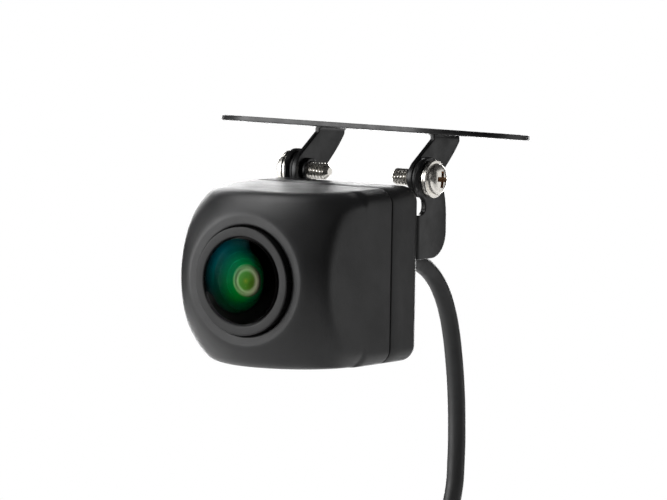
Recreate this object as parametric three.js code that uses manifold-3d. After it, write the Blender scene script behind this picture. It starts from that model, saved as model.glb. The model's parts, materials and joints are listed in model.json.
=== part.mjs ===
// A small cube-shaped reversing camera that hangs from a flat mounting plate and tilts on two pivot screws.
// Millimetres, +Z up. The origin is the middle of the plate's upper face, and the lens looks towards -Y.
import * as THREE from 'three';
import { mergeVertices } from 'three/addons/utils/BufferGeometryUtils.js';
import Module from 'manifold-3d';

const wasm = await Module();
wasm.setup();

// ---- driving dimensions ----
const SHEET = 0.9;               // steel of the mounting plate and its tabs
const PLATE_END_R = 13.3;        // round ends of the plate, half its depth
const PLATE_HALF_STRAIGHT = 15.4;
const AXIS_BEHIND = -3.2;        // tilt axis, in front of the plate's middle
const AXIS_DROP = 7.5;           // tilt axis, below the plate's underside
const HEAD_PITCH = THREE.MathUtils.degToRad(5.5); // how far the lens looks down at rest
const SLOT_X = 6;                // slots and end holes that screws pass to hold the plate
const SLOT_R = 1.8;
const SLOT_REACH = 4.2;
const END_HOLE_X = 25.2;
const END_HOLE_Y = 3.5;
const TAB_IN = 11.1;             // inner face of each tab
const TAB_OUT = TAB_IN + SHEET;
const TAB_LOBE_R = 3.3;
const TAB_FRONT = 3.2;           // tab's root on the plate, behind the tilt axis
const TAB_REAR = 11.3;
const WINDOW_GAP = 0.35;         // slit cut around each tab before it is bent
const BOSS_R = 2.1;              // drawn thread boss on each tab
const BOSS_LENGTH = 1.0;
const EAR_IN = 12.6;             // inner face of each ear of the rear bracket
const EAR_SHEET = 1.0;
const EAR_OUT = EAR_IN + EAR_SHEET;
const EAR_LOBE_R = 3.6;
const BRACKET_FOOT_Z = -13.5;    // bottom edge of the rear bracket
const BRACKET_SCREW_X = 7;
const BRACKET_SCREW_Z = -9.8;
const SCREW_R = 1.45;            // M3 thread
const CLEAR_R = 1.7;             // hole that an M3 screw passes freely
const WASHER_R = 3.2;            // friction washers between the tabs and the ears
const SCREW_TIP = 6.4;           // pivot screw's end, from the middle plane

const HALF = 14.75;              // half the square casing's width and height
const CORNER_R = 2.8;            // casing's long edges
const WALL = 1.6;
const LENS_Z = -15.6;            // lens axis, below the tilt axis
const BAND_Y = -35.5;            // flat ring around the lens opening
const BAND_R = 11.2;
const OPENING_R = 9.2;
const SEAM_Y = -13.4;            // parting line between the two casing halves
const REAR_Y = -4.1;             // rear face of the casing
const REAR_EDGE_R = 2.4;
const DOME = { r: 4.06, y: 13.91, radius: 15.64 }; // arc of the domed nose, from the lens axis and BAND_Y
const EDGE_BLEND = 1.6;          // softness where the dome meets the flat sides

const POST = 11.4;               // screw posts, from the lens axis along X and Z
const POST_R = 2.0;
const CASE_SCREW_R = 0.8;
const BOARD_HALF = 9.4;
const BOARD_THICK = 1.2;
const SPACER = 7.6;              // board spacers, from the lens axis along X and Z
const SENSOR_BOARD_Y = -20;      // front face
const SIGNAL_BOARD_Y = -14.6;

const CORD_R = 1.55;
const GLAND_END_Y = 2.9;         // tapered strain relief's tip
const COIL_R = 17;               // middle of the stored turns
const COIL_TURNS = 4;
const COIL_PITCH = 3.3;
const COIL_Y = 20;               // coil's middle, from the tilt axis
const COIL_Z = -80;
const CORD_BACK_Y = COIL_Y + COIL_R;
const PLUG_X = 6.6;
const SLIP = 0.05;               // gap between the flat layers of the pivot stack

// ---- materials ----
const finish = (color, roughness, metalness) =>
  new THREE.MeshStandardMaterial({ color, roughness, metalness });
const casing = finish(0x2b2b2c, 0.62, 0);
const bezelPlastic = finish(0x39393a, 0.5, 0);
const blackCoat = finish(0x1b1b1c, 0.45, 0.3);
const chrome = finish(0xd6d3cc, 0.15, 1);
const steel = finish(0x9a9a98, 0.35, 1);
const rubber = finish(0x161616, 0.7, 0);
const jacket = finish(0x1c1c1d, 0.5, 0);
const glass = finish(0x14321f, 0.05, 0);
const barrelBlack = finish(0x0c0c0d, 0.6, 0.2);
const boardGreen = finish(0x14562f, 0.5, 0);
const sensorBlack = finish(0x2a2838, 0.2, 0);
const filterRed = finish(0x7a2b38, 0.1, 0);
const nylon = finish(0x121213, 0.55, 0);

// ---- solids: three.js geometry to manifold and back ----
function toSolid(geometry) {
  const bare = geometry.clone();
  bare.deleteAttribute('normal');
  bare.deleteAttribute('uv');
  const merged = mergeVertices(bare, 1e-5);
  return new wasm.Manifold(new wasm.Mesh({
    numProp: 3,
    vertProperties: new Float32Array(merged.attributes.position.array),
    triVerts: new Uint32Array(merged.index.array),
  }));
}

function toGeometry(solid) {
  const mesh = solid.getMesh();
  const geometry = new THREE.BufferGeometry();
  geometry.setAttribute('position', new THREE.BufferAttribute(mesh.vertProperties, 3));
  geometry.setIndex(new THREE.BufferAttribute(mesh.triVerts, 1));
  return geometry;
}

const joined = (...parts) => parts.map(toSolid).reduce((all, next) => all.add(next));
const cut = (solid, ...tools) => tools.map(toSolid).reduce((left, tool) => left.subtract(tool), solid);

// ---- shapes ----
// A cylinder or cone along Y from y0 to y1, centred on (x, z).
function rodY(x, z, y0, y1, r0, r1 = r0, sides = 20) {
  const rod = new THREE.CylinderGeometry(r1, r0, y1 - y0, sides);
  return rod.translate(x, (y0 + y1) / 2, z);
}

// A cylinder or cone along X from x0 to x1, on the tilt axis.
function rodX(x0, x1, r0, r1 = r0, sides = 18) {
  const rod = new THREE.CylinderGeometry(r0, r1, x1 - x0, sides);
  return rod.rotateZ(Math.PI / 2).translate((x0 + x1) / 2, 0, 0);
}

function block(x, y, z, width, depth, height) {
  return new THREE.BoxGeometry(width, depth, height).translate(x, y, z);
}

// A shape drawn in (Y, Z), extruded along X from x0 to x1.
function plateX(shape, x0, x1, curveSegments = 7) {
  const plate = new THREE.ExtrudeGeometry(shape, { depth: x1 - x0, bevelEnabled: false, curveSegments });
  plate.rotateZ(Math.PI / 2).rotateY(Math.PI / 2);
  return plate.translate(x0, 0, 0);
}

// A closed outline of [radius, y] points turned about the lens axis.
function turned(outline, sides = 22) {
  const points = [...outline, outline[0]].map(([r, y]) => new THREE.Vector2(r, y));
  return new THREE.LatheGeometry(points, sides).translate(0, 0, LENS_Z);
}

// Distance from the lens axis to a rounded square of the given half width, in direction angle.
function squareRadius(angle, half, corner) {
  const c = Math.abs(Math.cos(angle));
  const s = Math.abs(Math.sin(angle));
  const flat = half - corner;
  if (Math.min(c, s) / Math.max(c, s) * half <= flat) return half / Math.max(c, s);
  const along = flat * (c + s);
  return along + Math.sqrt(along * along - 2 * flat * flat + corner * corner);
}

// Distance from the lens axis to the domed nose, at depth behind the flat band.
function domeRadius(depth) {
  if (depth >= DOME.y) return DOME.r + DOME.radius + (depth - DOME.y);
  return DOME.r + Math.sqrt(DOME.radius ** 2 - (DOME.y - depth) ** 2);
}

function softMin(a, b, blend) {
  const h = Math.max(blend - Math.abs(a - b), 0) / blend;
  return Math.min(a, b) - h * h * blend / 4;
}

// A ring around the lens axis whose closed outline of [radius, y] points changes with direction.
// Directions are close together where the square section's corners turn.
const QUARTER = [0, 18, 32, 38.5, 42, 45, 48, 51.5, 58, 72];
const DIRECTIONS = [0, 90, 180, 270].flatMap((start) => QUARTER.map((turn) => start + turn));
function loftedRing(outlineAt) {
  const positions = [];
  const index = [];
  const sides = DIRECTIONS.length;
  let count = 0;
  for (const direction of DIRECTIONS) {
    const angle = THREE.MathUtils.degToRad(direction);
    const outline = outlineAt(angle);
    count = outline.length;
    for (const [r, y] of outline) positions.push(r * Math.cos(angle), y, LENS_Z + r * Math.sin(angle));
  }
  for (let i = 0; i < sides; i++) {
    for (let k = 0; k < count; k++) {
      const a = i * count + k;
      const b = i * count + (k + 1) % count;
      const c = ((i + 1) % sides) * count + k;
      const d = ((i + 1) % sides) * count + (k + 1) % count;
      index.push(a, b, c, b, d, c);
    }
  }
  const ring = new THREE.BufferGeometry();
  ring.setAttribute('position', new THREE.Float32BufferAttribute(positions, 3));
  ring.setIndex(index);
  return ring;
}

// ---- scene graph ----
const camera = new THREE.Group();
const pivot = new THREE.Group();
pivot.position.set(0, AXIS_BEHIND, -SHEET - AXIS_DROP);
const head = new THREE.Group();
head.rotation.x = HEAD_PITCH;
pivot.add(head);
camera.add(pivot);

function place(name, shape, material, parent) {
  const geometry = shape instanceof THREE.BufferGeometry ? shape : toGeometry(shape);
  const mesh = new THREE.Mesh(geometry, material.clone());
  mesh.name = name;
  parent.add(mesh);
}

// ---- mounting plate: one sheet with two lanced and bent tabs ----
// Tab outline as [behind the axis, above the axis]; grow widens it for the window it leaves in the plate.
function tabShape(top, grow) {
  const lobe = TAB_LOBE_R + grow;
  const front = THREE.MathUtils.degToRad(128);
  const rear = THREE.MathUtils.degToRad(-52);
  const shape = new THREE.Shape();
  shape.moveTo(TAB_FRONT - grow, top);
  shape.lineTo(TAB_FRONT - grow, AXIS_DROP - 0.8);
  shape.lineTo(lobe * Math.cos(front), lobe * Math.sin(front));
  shape.absarc(0, 0, lobe, front, rear + 2 * Math.PI, false);
  shape.quadraticCurveTo(9.2 + grow, 3.3 - grow / 2, TAB_REAR + grow, AXIS_DROP - 0.9);
  shape.lineTo(TAB_REAR + grow, top);
  shape.closePath();
  return shape;
}

function slotShape(x, y, r, reach) {
  const slot = new THREE.Shape();
  slot.absarc(x, y + reach, r, 0, Math.PI, false);
  slot.absarc(x, y - reach, r, Math.PI, 2 * Math.PI, false);
  slot.closePath();
  return slot;
}

function roundHole(x, y, r) {
  return new THREE.Shape().absarc(x, y, r, 0, 2 * Math.PI, false);
}

const plateTop = AXIS_DROP + SHEET;
function plateCut(shape) {
  return new THREE.ExtrudeGeometry(shape, { depth: 4, bevelEnabled: false, curveSegments: 6 })
    .translate(0, -AXIS_BEHIND, plateTop - 2);
}

function mountingPlate() {
  const outline = new THREE.Shape();
  outline.absarc(PLATE_HALF_STRAIGHT, 0, PLATE_END_R, -Math.PI / 2, Math.PI / 2, false);
  outline.absarc(-PLATE_HALF_STRAIGHT, 0, PLATE_END_R, Math.PI / 2, 3 * Math.PI / 2, false);
  outline.closePath();
  const sheet = new THREE.ExtrudeGeometry(outline, { depth: SHEET, bevelEnabled: false, curveSegments: 12 })
    .translate(0, -AXIS_BEHIND, AXIS_DROP);
  let solid = toSolid(sheet);
  for (const side of [-1, 1]) {
    const lance = plateX(tabShape(AXIS_DROP, WINDOW_GAP), -2, 2);
    lance.rotateY(-side * Math.PI / 2).translate(side * (TAB_OUT + AXIS_DROP), 0, plateTop);
    solid = solid.subtract(toSolid(lance));
    solid = cut(solid, plateCut(slotShape(side * SLOT_X, 0, SLOT_R, SLOT_REACH)),
      plateCut(roundHole(side * END_HOLE_X, END_HOLE_Y, CLEAR_R)));
  }
  for (const side of [-1, 1]) {
    const [low, high] = side > 0 ? [TAB_IN, TAB_OUT] : [-TAB_OUT, -TAB_IN];
    const bossEnd = side * (TAB_IN - BOSS_LENGTH);
    const boss = rodX(Math.min(bossEnd, side * TAB_OUT), Math.max(bossEnd, side * TAB_OUT), BOSS_R);
    const tab = joined(plateX(tabShape(AXIS_DROP + SHEET / 2, 0), low, high), boss);
    solid = solid.add(cut(tab, rodX(side * 13 - 5, side * 13 + 5, SCREW_R + 0.12)));
  }
  return solid;
}
place('mounting_plate', mountingPlate(), blackCoat, pivot);

// ---- pivot screws and washers, one set on each side ----
function ringX(x0, x1, inner, outer, gap = 0) {
  const solid = cut(toSolid(rodX(x0, x1, outer)), rodX(x0 - 1, x1 + 1, inner));
  return gap ? cut(solid, block((x0 + x1) / 2, 0, -outer, x1 - x0 + 2, gap, 2 * outer - inner)) : solid;
}

function pivotScrew() {
  const under = EAR_OUT + 0.6;
  const head = joined(
    rodX(SCREW_TIP, SCREW_TIP + 0.5, SCREW_R - 0.45, SCREW_R),
    rodX(SCREW_TIP + 0.4, under + 0.2, SCREW_R),
    rodX(under, under + 0.55, 3.2),
    rodX(under + 0.5, under + 1.3, 2.55, 2.45),
    rodX(under + 1.25, under + 1.9, 2.45, 1.5),
  );
  const top = under + 1.9;
  return cut(head, block(top, 0, 0, 2.2, 0.7, 2.6), block(top, 0, 0, 2.2, 2.6, 0.7));
}

for (const [side, flip] of [['right', 0], ['left', Math.PI]]) {
  const set = new THREE.Group();
  set.rotation.z = flip;
  pivot.add(set);
  place(`pivot_screw_${side}`, pivotScrew(), chrome, set);
  place(`spring_washer_${side}`, ringX(EAR_OUT + SLIP, EAR_OUT + 0.55, CLEAR_R, 3.05, 0.5), chrome, set);
  place(`friction_washer_${side}`, ringX(TAB_OUT + SLIP, EAR_IN - SLIP, CLEAR_R, WASHER_R), nylon, set);
}

// ---- rear bracket: a back plate with two ears bent out of it ----
function earShape() {
  const shape = new THREE.Shape();
  shape.moveTo(REAR_Y + SLIP, BRACKET_FOOT_Z);
  shape.lineTo(1.2, BRACKET_FOOT_Z);
  shape.absarc(1.2, BRACKET_FOOT_Z + 4.3, 4.3, -Math.PI / 2, 0, false);
  shape.lineTo(5.5, -7);
  shape.quadraticCurveTo(5.4, -2.8, EAR_LOBE_R, -0.4);
  shape.absarc(0, 0, EAR_LOBE_R, 0, THREE.MathUtils.degToRad(215), false);
  shape.lineTo(-1.3, -3.6);
  shape.quadraticCurveTo(-0.6, -5.8, -2.6, -6);
  shape.lineTo(REAR_Y + SLIP, -6);
  shape.closePath();
  return shape;
}

function rearBracket() {
  const parts = [block(0, REAR_Y + SLIP + EAR_SHEET / 2, -9.75, 2 * EAR_OUT - 1, EAR_SHEET, 7.5)];
  parts.push(plateX(earShape(), EAR_IN, EAR_OUT), plateX(earShape(), -EAR_OUT, -EAR_IN));
  let solid = joined(...parts);
  solid = cut(solid, rodX(-20, 20, CLEAR_R), rodY(0, LENS_Z, REAR_Y - 1, REAR_Y + 3, 3.7));
  for (const side of [-1, 1]) {
    const hole = rodY(side * BRACKET_SCREW_X, BRACKET_SCREW_Z, REAR_Y - 1, REAR_Y + 3, 1.1, 1.1, 12);
    solid = cut(solid, hole);
  }
  return solid;
}
place('rear_bracket', rearBracket(), blackCoat, head);

// ---- casing ----
const sectionAt = (angle, inset) => squareRadius(angle, HALF - inset, Math.max(CORNER_R - inset, 0.6));
const noseAt = (angle, depth) => softMin(sectionAt(angle, 0), domeRadius(depth), EDGE_BLEND);
const noseInAt = (angle, depth) =>
  softMin(sectionAt(angle, WALL), domeRadius(depth) - WALL * 1.15, EDGE_BLEND);

function frontHousing() {
  const outer = [0, 1.5, 3.5, 6.5, 10.5, 15];
  const inner = [15, 9, 4.5, 1.8];
  const shell = loftedRing((angle) => [
    [OPENING_R, BAND_Y + 0.3], [OPENING_R + 0.3, BAND_Y], [BAND_R - 0.5, BAND_Y],
    ...outer.map((depth) => [noseAt(angle, depth + 0.15), BAND_Y + depth + 0.15]),
    [sectionAt(angle, 0), SEAM_Y], [sectionAt(angle, 0.4), SEAM_Y],
    [sectionAt(angle, 0.4), SEAM_Y - 0.6], [sectionAt(angle, 1.3), SEAM_Y - 0.6],
    [sectionAt(angle, 1.3), SEAM_Y], [sectionAt(angle, WALL), SEAM_Y],
    ...inner.map((depth) => [noseInAt(angle, depth), BAND_Y + depth]),
    [OPENING_R, BAND_Y + 1.7],
  ]);
  let solid = toSolid(shell);
  for (const x of [-POST, POST]) {
    for (const dz of [-POST, POST]) {
      const post = toSolid(rodY(x, LENS_Z + dz, -25, SEAM_Y, POST_R, POST_R, 10));
      const bore = rodY(x, LENS_Z + dz, -23, SEAM_Y + 1, CASE_SCREW_R + 0.1, CASE_SCREW_R + 0.1, 8);
      solid = cut(solid.add(post), bore);
    }
  }
  return solid;
}
place('front_housing', frontHousing(), casing, head);

place('housing_seal', loftedRing((angle) => [
  [sectionAt(angle, 1.2), SEAM_Y - 0.52], [sectionAt(angle, 0.5), SEAM_Y - 0.52],
  [sectionAt(angle, 0.5), SEAM_Y], [sectionAt(angle, 1.2), SEAM_Y],
]), rubber, head);

function rearCover() {
  const edge = [0, 0.4, 0.75, 1].map((t) => t * Math.PI / 2);
  const shell = loftedRing((angle) => [
    [sectionAt(angle, WALL), SEAM_Y + SLIP], [sectionAt(angle, 0), SEAM_Y + SLIP],
    ...edge.map((t) => [
      sectionAt(angle, REAR_EDGE_R * (1 - Math.cos(t))), REAR_Y - REAR_EDGE_R * (1 - Math.sin(t))]),
    [2.5, REAR_Y], [2.5, REAR_Y - WALL], [sectionAt(angle, WALL + 0.8), REAR_Y - WALL],
    [sectionAt(angle, WALL), REAR_Y - WALL - 0.8],
  ]);
  let solid = toSolid(shell);
  for (const side of [-1, 1]) {
    for (const dz of [-POST, POST]) {
      const [x, z] = [side * POST, LENS_Z + dz];
      const pillar = toSolid(rodY(x, z, SEAM_Y + SLIP, REAR_Y - 1, POST_R, POST_R, 10));
      solid = cut(solid.add(pillar), rodY(x, z, SEAM_Y - 1, REAR_Y + 1, 1.0, 1.0, 8),
        rodY(x, z, REAR_Y - 1.5, REAR_Y + 1, 1.9, 1.9, 14));
    }
    const [x, z] = [side * BRACKET_SCREW_X, BRACKET_SCREW_Z];
    const boss = toSolid(rodY(x, z, REAR_Y - 4.6, REAR_Y - 1, 1.9, 1.9, 10));
    solid = cut(solid.add(boss), rodY(x, z, REAR_Y - 4.2, REAR_Y + 1, 0.9, 0.9, 8));
  }
  return solid;
}
place('rear_cover', rearCover(), casing, head);

// ---- casing screws and rear bracket screws ----
function crossScrew(x, z, seat, length, shankR, headR, headHeight) {
  const solid = joined(
    rodY(x, z, seat - length, seat + 0.1, shankR, shankR, 8),
    rodY(x, z, seat, seat + headHeight, headR, headR * 0.85, 12),
  );
  const top = seat + headHeight;
  return cut(solid, block(x, top, z, 0.4, 1, headR), block(x, top, z, headR, 1, 0.4));
}

const caseCorners = [
  ['lower_left', -1, -1], ['lower_right', 1, -1], ['upper_left', -1, 1], ['upper_right', 1, 1],
];
for (const [name, right, up] of caseCorners) {
  const [x, z] = [right * POST, LENS_Z + up * POST];
  const screw = crossScrew(x, z, REAR_Y - 1.45, 15, CASE_SCREW_R, 1.7, 1.2);
  place(`case_screw_${name}`, screw, steel, head);
}
for (const [name, side] of [['left', -1], ['right', 1]]) {
  const seat = REAR_Y + EAR_SHEET + 2 * SLIP;
  const screw = crossScrew(side * BRACKET_SCREW_X, BRACKET_SCREW_Z, seat, 4.6, 0.8, 1.8, 1.0);
  place(`bracket_screw_${name}`, screw, steel, head);
}

// ---- optics ----
function arcPoints(r0, y0, r1, y1, sag, steps) {
  const points = [];
  for (let i = 0; i <= steps; i++) {
    const t = i / steps;
    points.push([r0 + (r1 - r0) * t, y0 + (y1 - y0) * t + sag * 4 * t * (1 - t)]);
  }
  return points;
}

place('lens_bezel', turned([
  [7.6, -36.4], [7.9, -36.7], [8.8, -36.7], [9.05, -36.45], [9.05, -33.4], [10.6, -33.4],
  [10.6, -32.4], [7.6, -32.4],
]), bezelPlastic, head);
place('lens_seal', turned([[9.3, -33.7], [10.3, -33.7], [10.3, -33.45], [9.3, -33.45]]), rubber, head);
place('front_lens', turned([
  ...arcPoints(0, -39.6, 7.45, -37.1, -0.65, 5), [7.45, -36.1], [5.2, -36.1],
  ...arcPoints(5.2, -36.1, 0, -37.6, -0.4, 3).slice(1),
]), glass, head);
place('lens_barrel', turned([
  [5.6, -36.0], [7.4, -36.0], [7.4, -31.9], [6.6, -31.9], [6.6, -27.5], [5.9, -27.5], [5.9, -22.2],
  [3.2, -22.2], [3.2, -29.0], [4.4, -29.0], [4.4, -33.5], [5.6, -33.5],
]), barrelBlack, head);
place('middle_lens', turned([[0, -32.6], [2.6, -32.3], [4.3, -31.5], [4.3, -30.2], [2.4, -30.4], [0, -30.6]]),
  glass, head);
place('rear_lens', turned([[0, -27.0], [1.8, -26.8], [3.1, -26.2], [3.1, -24.6], [1.7, -24.1], [0, -23.9]]),
  glass, head);

function lensHolder() {
  const base = joined(
    rodY(0, LENS_Z, -27.2, -21.6, 7.3, 7.3, 20),
    block(0, -21, LENS_Z, 15, 1.9, 15),
  );
  return cut(base, rodY(0, LENS_Z, -28, -21.8, 6.0, 6.0, 20), block(0, -20.9, LENS_Z, 9, 2.2, 9));
}
place('lens_holder', lensHolder(), barrelBlack, head);
place('ir_filter', block(0, -21.6, LENS_Z, 8.4, 0.35, 8.4), filterRed, head);
place('image_sensor', block(0, SENSOR_BOARD_Y - 0.45, LENS_Z, 6.4, 0.8, 6.4), sensorBlack, head);

// ---- circuit boards ----
const board = (front) =>
  block(0, front + BOARD_THICK / 2, LENS_Z, 2 * BOARD_HALF, BOARD_THICK, 2 * BOARD_HALF);
place('sensor_board', board(SENSOR_BOARD_Y), boardGreen, head);
place('signal_board', board(SIGNAL_BOARD_Y), boardGreen, head);
for (const [name, right, up] of caseCorners) {
  const front = SENSOR_BOARD_Y + BOARD_THICK + SLIP;
  const back = SIGNAL_BOARD_Y - SLIP;
  const spacer = rodY(right * SPACER, LENS_Z + up * SPACER, front, back, 1.4, 1.4, 10);
  place(`board_spacer_${name}`, spacer, steel, head);
}
place('cable_header', block(0, SIGNAL_BOARD_Y + BOARD_THICK + 2.05, LENS_Z + 5, 9, 4, 4), nylon, head);

// ---- cable gland, cord, stored coil, tie and plug ----
place('cable_gland', turned([
  [0, REAR_Y - WALL - 1.4], [3.5, REAR_Y - WALL - 1.4], [3.5, REAR_Y - WALL - SLIP],
  [2.35, REAR_Y - WALL - SLIP], [2.35, REAR_Y + SLIP], [3.3, REAR_Y + SLIP], [3.1, REAR_Y + 1.2],
  [2.5, -1], [2.1, GLAND_END_Y], [0, GLAND_END_Y],
], 20), rubber, head);

// The cord's route from the tilt axis, as points chosen by hand: out of the gland, over and down to the coil.
const leadRoute = [
  [0, 5.04, -15.18], [0, 8.5, -14.85], [0, 12, -14.5], [0, 15.3, -14.2], [0, 18.6, -14.25],
  [0, 21.9, -15.05], [0, 25.1, -16.7], [0, 28, -19.15], [0, 30.4, -22.4], [0, 32.3, -26.3],
  [0, 33.8, -30.7], [0, 35.1, -35.6], [0, 36.2, -41.8], [0, 36.8, -48], [-0.2, CORD_BACK_Y, -54],
  [-1.6, CORD_BACK_Y, -60], [-3.9, CORD_BACK_Y, -65], [-5.5, CORD_BACK_Y, -68.8],
].map(([x, y, z]) => new THREE.Vector3(x, y, z));
const tailRoute = [-91.2, -94, -97].map((z) => new THREE.Vector3(PLUG_X, CORD_BACK_Y, z));

function cordTube(points, steps) {
  const section = new THREE.Shape().absarc(0, 0, CORD_R, 0, 2 * Math.PI, false);
  return new THREE.ExtrudeGeometry(section, {
    steps, curveSegments: 4, bevelEnabled: false, extrudePath: new THREE.CatmullRomCurve3(points),
  });
}
place('cord_lead', cordTube(leadRoute, 22), jacket, pivot);

function cordCoil() {
  const reach = COIL_TURNS / 2 * COIL_PITCH + CORD_R + 0.1;
  const [inner, outer] = [COIL_R - 1.7, COIL_R + 1.7];
  const outline = [[inner, -reach], [outer, -reach], [outer, reach], [inner, reach]];
  const points = [...outline, outline[0]].map(([r, x]) => new THREE.Vector2(r, x));
  return new THREE.LatheGeometry(points, 28).rotateZ(-Math.PI / 2).translate(0, COIL_Y, COIL_Z);
}
place('cord_coil', cordCoil(), jacket, pivot);
place('cord_tail', cordTube(tailRoute, 3), jacket, pivot);

// A strap around all the turns on the coil's front side.
function cordTie() {
  const middle = COIL_Y - COIL_R;
  const outer = block(0, middle, COIL_Z, 18.4, 5.4, 5);
  return cut(toSolid(outer), block(0, middle, COIL_Z, 17.1, 4.1, 8));
}
place('cord_tie', cordTie(), nylon, pivot);

// A closed outline of [radius, z] points, drawn from the top down, turned about the plug's upright axis.
function upright(outline, sides) {
  const points = [...outline, outline[0]].reverse().map(([r, z]) => new THREE.Vector2(r, z));
  return new THREE.LatheGeometry(points, sides).rotateX(Math.PI / 2).translate(PLUG_X, CORD_BACK_Y, 0);
}
place('plug_grip', upright([
  [0, -97.3], [1.9, -97.3], [2.6, -101], [4.2, -104], [4.4, -113], [5, -113.2], [5, -115], [0, -115],
], 20), rubber, pivot);
place('plug_shell', upright([
  [3.7, -115.05], [4.5, -115.05], [4.5, -123], [3.7, -123],
], 20), nylon, pivot);
place('plug_insert', upright([[0, -115.05], [3.4, -115.05], [3.4, -121.5], [0, -121.5]], 16), nylon, pivot);

export default camera;
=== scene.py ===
"""A small cube-shaped reversing camera hanging from its tilting bracket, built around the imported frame.

Lengths are in millimetres until a mesh is made. The camera, lights, floor and grain are in metres.
PIVOT places what is measured from the tilt axis, and HEAD what is measured from it in the camera's own
directions, because the lens looks slightly down at rest.
"""

import json
import math

import bmesh
import bpy
from mathutils import Matrix, Vector


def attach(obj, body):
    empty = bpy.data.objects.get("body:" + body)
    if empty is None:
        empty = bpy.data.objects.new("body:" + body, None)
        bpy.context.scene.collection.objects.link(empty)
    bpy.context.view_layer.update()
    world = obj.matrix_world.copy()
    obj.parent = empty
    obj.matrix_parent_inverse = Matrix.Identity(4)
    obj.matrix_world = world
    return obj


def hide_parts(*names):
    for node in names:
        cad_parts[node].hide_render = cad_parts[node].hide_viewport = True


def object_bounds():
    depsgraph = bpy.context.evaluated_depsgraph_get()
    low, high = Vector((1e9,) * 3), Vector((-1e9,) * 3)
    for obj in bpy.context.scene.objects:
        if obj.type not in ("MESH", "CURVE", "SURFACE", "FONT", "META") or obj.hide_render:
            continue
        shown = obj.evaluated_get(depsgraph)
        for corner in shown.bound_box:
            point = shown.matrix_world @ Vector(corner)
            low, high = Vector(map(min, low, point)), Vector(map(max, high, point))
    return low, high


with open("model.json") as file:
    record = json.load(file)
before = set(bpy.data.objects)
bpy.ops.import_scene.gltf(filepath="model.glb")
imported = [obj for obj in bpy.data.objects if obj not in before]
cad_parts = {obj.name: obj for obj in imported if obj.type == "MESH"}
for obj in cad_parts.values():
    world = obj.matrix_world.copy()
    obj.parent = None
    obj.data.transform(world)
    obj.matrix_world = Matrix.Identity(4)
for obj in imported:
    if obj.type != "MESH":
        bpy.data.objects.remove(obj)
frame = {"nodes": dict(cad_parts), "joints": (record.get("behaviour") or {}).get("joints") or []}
cad_low, cad_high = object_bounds()

# ---- driving dimensions, as in the CAD ----
MM = 0.001
AXIS = Vector(frame["joints"][0]["pos_m"])
PITCH = math.radians(5.5)
PIVOT = Matrix.Translation(AXIS)
HEAD = PIVOT @ Matrix.Rotation(PITCH, 4, "X")

SHEET = 0.9                    # steel of the mounting plate and its tabs
AXIS_DROP = 7.5                # tilt axis, below the plate's underside
PLATE_MIDDLE_Y = 3.2           # plate's middle, behind the tilt axis
PLATE_END_R = 13.3             # round ends of the plate, half its depth
PLATE_HALF_STRAIGHT = 15.4
SLOT_X = 6                     # slots and end holes that screws pass to hold the plate
SLOT_R = 1.8
SLOT_REACH = 4.2
END_HOLE_X = 25.2
END_HOLE_Y = 3.5
TAB_IN = 11.1                  # inner face of each tab
TAB_LOBE_R = 3.3
TAB_FRONT = 3.2                # tab's root on the plate, behind the tilt axis
TAB_REAR = 11.3
WINDOW_GAP = 0.35              # slit cut around each tab before it is bent
BOSS_R = 2.1                   # drawn thread boss on each tab
BOSS_LENGTH = 1.0
EAR_IN = 12.6                  # inner face of each ear of the rear bracket
EAR_SHEET = 1.0
EAR_OUT = EAR_IN + EAR_SHEET
EAR_LOBE_R = 3.6
BRACKET_FOOT_Z = -13.5         # bottom edge of the rear bracket
BRACKET_SCREW_X = 7
BRACKET_SCREW_Z = -9.8
GLAND_NOTCH_R = 3.7            # rear bracket's cut around the strain relief
SCREW_R = 1.45                 # M3 thread
CLEAR_R = 1.7                  # hole that an M3 screw passes freely
WASHER_R = 3.2                 # friction washers between the tabs and the ears
SPRING_WASHER_R = 3.05
SCREW_SEAT = EAR_OUT + 0.6     # pivot screw's flange, outside the spring washer
FLANGE_R = 3.2                 # collar under each pivot screw's head
SCREW_TIP = 6.4                # pivot screw's end, from the middle plane
SLIP = 0.05                    # gap between flat layers

HALF = 14.75                   # half the square casing's width and height
CORNER_R = 2.8                 # casing's long edges
WALL = 1.6
LENS_Z = -15.6                 # lens axis, below the tilt axis
BAND_Y = -35.5                 # flat ring around the lens opening
BAND_R = 11.2
OPENING_R = 9.2
SEAM_Y = -13.4                 # parting line between the two casing halves
REAR_Y = -4.1                  # rear face of the casing
REAR_EDGE_R = 2.4
DOME_R = 4.06                  # arc of the domed nose, from the lens axis and BAND_Y
DOME_Y = 13.91
DOME_RADIUS = 15.64
EDGE_BLEND = 1.6               # softness where the dome meets the flat sides
POST = 11.4                    # case screws, from the lens axis along X and Z
CASE_WELL_DEPTH = 1.5          # pockets for the case screws' heads
CABLE_HOLE_R = 2.5

CORD_R = 1.55
GLAND_END_Y = 2.9              # tapered strain relief's tip
COIL_R = 17.0                  # middle of the stored turns
COIL_TURNS = 4
COIL_PITCH = 3.3
COIL_Y = 20.0                  # coil's middle, from the tilt axis
COIL_Z = -80.0
CORD_BACK_Y = COIL_Y + COIL_R
PLUG_X = 6.6
PLUG_TOP_Z = -97.3             # grip's end, where the cord goes in
PLUG_FACE_Z = -115             # joint between the grip and the collar
PLUG_END_Z = -123


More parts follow.
